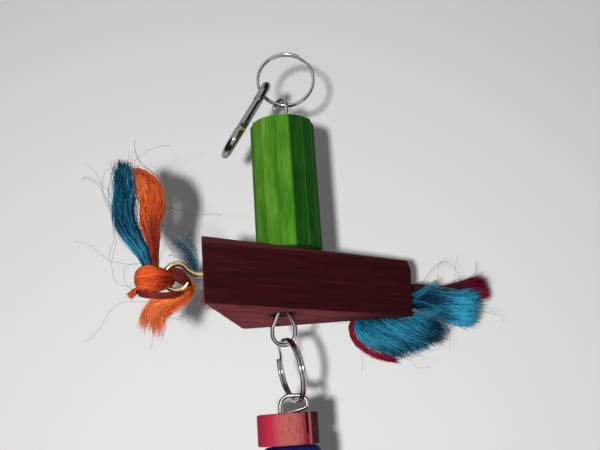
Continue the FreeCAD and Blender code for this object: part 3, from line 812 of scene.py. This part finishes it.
wrap("knot_fibres", "left_knot", orange, 15, left_knot + (1.4, -0.6, -0.3), (7.4, 5.6, 4.9),
     count=1750, locks=40, tones=[(-1, 0.36), (-0.45, 0.52), (0.05, 0.34), (0.45, 0.06), (1, -0.1)])
strands("rope_band_fibres", crimson_brown, 16, left_knot, [
    [(-4.5, -3.6, -5.2), (-1.0, -4.4, -6.0), (4.0, -3.6, -6.4), (9.0, -1.4, -5.9), (12.8, 1.2, -4.6)],
    [(-3.5, -3.6, -6.2), (0.0, -4.2, -7.2), (4.5, -3.4, -7.3), (9.5, -1.4, -6.7), (13.2, 0.8, -5.2)],
], count=130, width=0.7, shade_range=(0.10, 0.60))
strands("loop_rope_fibres", crimson_brown, 17, left_knot, [
    [(4.0, -1.0, 2.0), (7.5, -0.2, 3.0), (10.5, 0.6, 2.2), (12.5, 0.8, 0.0)],
    [(3.5, -2.0, 0.5), (7.5, -1.4, 0.8), (11.0, -0.6, -0.2), (13.5, 0.0, -2.0)],
], count=150, width=1.3, shade_range=(0.05, 0.45))
strands("stub_fibres", orange, 18, left_knot, [
    [(-2.5, -2.6, -3.2), (-5.0, -2.8, -5.0), (-7.8, -2.8, -7.2)],
], count=110, width=1.1, shade_range=(0.2, 0.7))

# Right tassel; its guides go from the lowest edge of the lower bunch to the top of the upper one
lower_guides = [
    [(-1.0, 0.0, -1.0), (-9.0, -3.0, -3.5), (-15.0, -6.0, -10.5), (-11.0, -8.0, -18.0),
     (-1.5, -9.0, -23.0), (7.0, -9.0, -25.5)],
    [(0.0, 0.0, -1.0), (-4.5, -3.5, -4.5), (-5.5, -6.5, -9.0), (0.5, -8.5, -14.5),
     (10.0, -9.5, -19.5), (17.5, -9.5, -22.5)],
    [(0.5, 0.0, -0.5), (3.0, -4.0, -4.0), (7.5, -6.5, -7.5), (13.0, -8.5, -11.5),
     (18.5, -9.5, -14.8), (24.0, -9.5, -17.5)],
    [(0.5, 0.0, -0.5), (6.0, -4.0, -3.0), (11.0, -6.5, -5.5), (16.0, -8.5, -8.5),
     (20.5, -9.5, -11.0), (25.0, -9.5, -13.5)],
]
upper_guides = [
    [(1.0, 0.0, 0.0), (9.0, -4.0, -1.5), (17.0, -6.5, -4.5), (25.0, -8.5, -8.5),
     (32.0, -9.5, -10.8), (39.0, -9.5, -12.5)],
    [(1.0, 0.0, 1.0), (9.0, -4.0, 1.5), (17.0, -6.5, 0.0), (25.0, -8.5, -2.5),
     (33.0, -9.5, -4.0), (41.5, -9.5, -5.0)],
    [(1.0, 0.0, 2.0), (9.0, -3.0, 4.5), (17.0, -5.5, 4.0), (26.0, -8.0, 2.0),
     (34.0, -9.5, 2.2), (42.0, -10.0, 3.5)],
]
fan("right_upper_fibres", "right_upper_bunch", teal, 21, right_knot, upper_guides,
    count=3300, locks=72, depth=3.4, frizz=1.3, reach=(0.74, 1.03), crossing=0.20, side_light_and_shade=(0.05, -0.15),
    tones=[(0, 0.0), (0.3, -0.1), (0.5, 0.05), (0.64, 0.32), (0.78, 0.86), (0.9, 0.92), (1, 0.45)])
fan("right_lower_fibres", "right_lower_bunch", teal, 22, right_knot, lower_guides,
    count=3300, locks=72, depth=3.2, frizz=1.6, reach=(0.72, 1.03), crossing=0.26, side_light_and_shade=(0.10, -0.42),
    tones=[(0, 0.0), (0.25, 0.0), (0.40, 0.36), (0.52, 0.82), (0.68, 0.74), (0.82, 0.46), (1, 0.55)])
strands("crossing_fibres", teal, 26, right_knot, [
    [(22.0, -13.0, 7.0), (18.0, -13.5, 4.5), (12.5, -14.0, 1.0), (7.0, -14.0, -2.0)],
    [(24.0, -13.5, -4.0), (16.0, -14.0, -8.0), (8.0, -14.0, -9.5), (0.0, -13.0, -12.0)],
    [(26.0, -13.5, -15.0), (21.0, -14.0, -8.0), (15.0, -14.0, -6.0), (6.0, -13.5, -9.0)],
    [(38.0, -13.5, 0.0), (30.0, -14.0, 2.0), (24.0, -14.0, 3.0), (17.0, -13.5, 5.0)],
], count=12, width=1.5, shade_range=(0.5, 1.0), thickness=0.17)
bunch("crimson_low_fibres", "right_crimson_low", crimson, 23, right_knot, [
    ((-5.0, -4.5, -1.0), 0.8),
    ((-11.6, -8.0, -4.0), 1.1),
    ((-16.2, -9.8, -10.0), 1.2),
    ((-15.2, -9.8, -17.0), 1.3),
    ((-9.8, -9.8, -21.8), 1.3),
    ((-3.6, -9.8, -24.8), 1.3),
    ((5.0, -9.8, -27.2), 1.2),
], count=520, locks=10, wave=0.16, fray=0.7, reach=(0.88, 1.0),
      tones=[(0, 0.25), (0.45, 0.55), (0.85, 0.62), (1, 0.50)])
bunch("crimson_high_fibres", "right_crimson_high", crimson, 24, right_knot, [
    ((3.0, -2.0, 3.0), 2.0),
    ((12.0, -4.0, 5.5), 2.6),
    ((24.0, -5.5, 3.2), 3.0),
    ((35.0, -6.5, 4.6), 3.8),
    ((46.0, -7.0, 5.6), 6.2),
], count=1500, locks=26, wave=0.14, fray=0.25, reach=(0.92, 1.0), twist=0.2,
      tones=[(0, -0.3), (0.5, -0.25), (0.75, 0.12), (0.92, 0.55), (1, 0.50)])
wrap("right_knot_fibres", "right_knot", teal, 25, right_knot, (6.2, 5.6, 5.4),
     count=600, locks=24, tones=[(-1, 0.40), (0, 0.45), (1, 0.35)])

# Stray fibres round the tassels
hairs("left_stray_fibres", dark_hair, 31, left_knot, [
    [(-25.5, -1, 45), (-22.5, -1, 42), (-20, -1.5, 38), (-19, -2, 33.5), (-17.5, -2, 29), (-14, -2, 23)],
    [(-27.5, -1, 39), (-24.5, -1, 39), (-21, -1, 36.5), (-18.5, -2, 33), (-16.5, -2, 28), (-13, -2, 22)],
    [(-14.5, -3, 43), (-18, -3, 41), (-18.5, -3, 34), (-16, -2, 28)],
    [(-8, 0, 54.5), (-7.5, 0, 50), (-5.5, 0, 45.5), (-1.5, 0, 42), (2.5, 1, 38.5), (5.5, 1, 32.5),
     (7, 1, 26), (6, 1, 20), (1.5, 1, 14)],
    [(-12, -2, 43), (-7.5, -2, 45.5), (-3, -2, 49), (1.5, -2, 51), (6.5, -2, 51.5)],
    [(1, 0, 28.5), (8, 0, 26.5), (10.5, 0, 24), (9.5, 0, 21.5), (6, 0, 18), (4, 0, 12), (2.5, 0, 5)],
    [(1, 0, 27.5), (8, 0, 26.5), (15, 1, 24.5), (19.5, 1, 24.5), (24, 1, 24.5), (26.5, 1, 23.5)],
    [(0, 0, 18.5), (6, 0, 20), (10.5, 0, 17.5), (14, 1, 14), (16, 2, 10), (15, 2, 3)],
    [(-28, -2, 14.5), (-25.5, -2, 14), (-21.5, -2, 12), (-16, -2, 7.5), (-12, -2, 6), (-4, -3, 4.5)],
    [(-1, -4, -9), (-5, -4, -9), (-8, -3, -8.5), (-11, -3, -9.5), (-14.5, -3, -12.5), (-17, -3, -17.5),
     (-20, -3, -21), (-22.5, -3, -23)],
    [(-12, -2, 24.5), (-14, -2, 18.5), (-13, -2, 14), (-14, -3, 7), (-13.5, -3, 2), (-11.5, -3, -2),
     (-5, -4, -3.5)],
    [(-3, -4, 5), (-6.5, -4, 5), (-9, -4, 3.5), (-9, -4, 0.5), (-7.5, -4, -3.5), (-3, -4, -5)],
    [(3, -3, -12), (7, -3, -14.5), (11.5, -3, -15.5), (12, -2, -12)],
    [(1, -2, -26), (1.5, -2, -22.5), (2, -2, -18)],
    [(5, 0, 15), (7.5, 0, 10.5), (11, 1, 12.5), (13, 2, 8.5), (9.5, 2, 8)],
    [(4, 0, 9), (6, -1, 14), (9, 0, 15.5), (12, 1, 12), (14.5, 2, 7)],
], shade=0.45)
hairs("right_stray_fibres", dark_hair, 32, right_knot, [
    [(14, -8, 5), (18.5, -8, 10.5), (23, -8, 15), (27, -8, 17.5), (31, -8, 14), (33, -8, 9), (31, -8, 2)],
    [(22, -9, 2), (23, -8, 7.5), (23.5, -8, 12), (25, -8, 16.5), (28.5, -8, 16.5)],
    [(25, -11, -12), (26, -12, -16), (25.5, -12, -23.5)],
    [(24, -11, -11), (24.5, -12, -14.5), (21.5, -12, -21.5), (17.5, -12, -23)],
    [(4, -11, -22), (7.5, -12, -25), (10.5, -12, -29), (13.5, -12, -30), (17, -12, -29.5)],
    [(-13, -10, -16), (-13, -11, -19.5), (-12, -11, -27), (-12.5, -11, -30.5)],
    [(33, -8, 20), (32, -8, 16), (31, -8, 11), (30, -8, 3)],
    [(41, -8, 16.5), (40.5, -8, 12.5), (37.5, -8, 4)],
    [(40, -9, -4), (45, -9, -7), (49, -9, -8), (51, -9, -11)],
], shade=0.35)

# Torn fibres at the foot of the block's front left edge and along the left edge of its underside, and
# long ones under its back edge; each edge has its two ends in mm and the way that its fibres point
fuzzy_edges = [
    ((-29.9, -34.8, -107.5), (-29.7, -34.6, -112.2), (-0.8, -0.5, -0.2)),
    ((-29.6, -34.4, -112.3), (-21.2, 27.0, -112.1), (-0.9, 0.0, -0.5)),
]
saw_fuzz("block_saw_fuzz", crimson, 41, fuzzy_edges, count=45)
hairs("block_hairs", crimson, 42, np.zeros(3), [
    [(11.4, 27.6, -111.6), (11.6, 27.8, -113.2), (12.4, 27.8, -115.0), (13.0, 27.8, -116.2)],
    [(18.0, 27.8, -111.4), (20.0, 28.2, -112.4), (23.0, 28.2, -112.2), (25.0, 28.2, -111.2)],
], shade=0.35)

bpy.context.scene.view_settings.view_transform = "Standard"
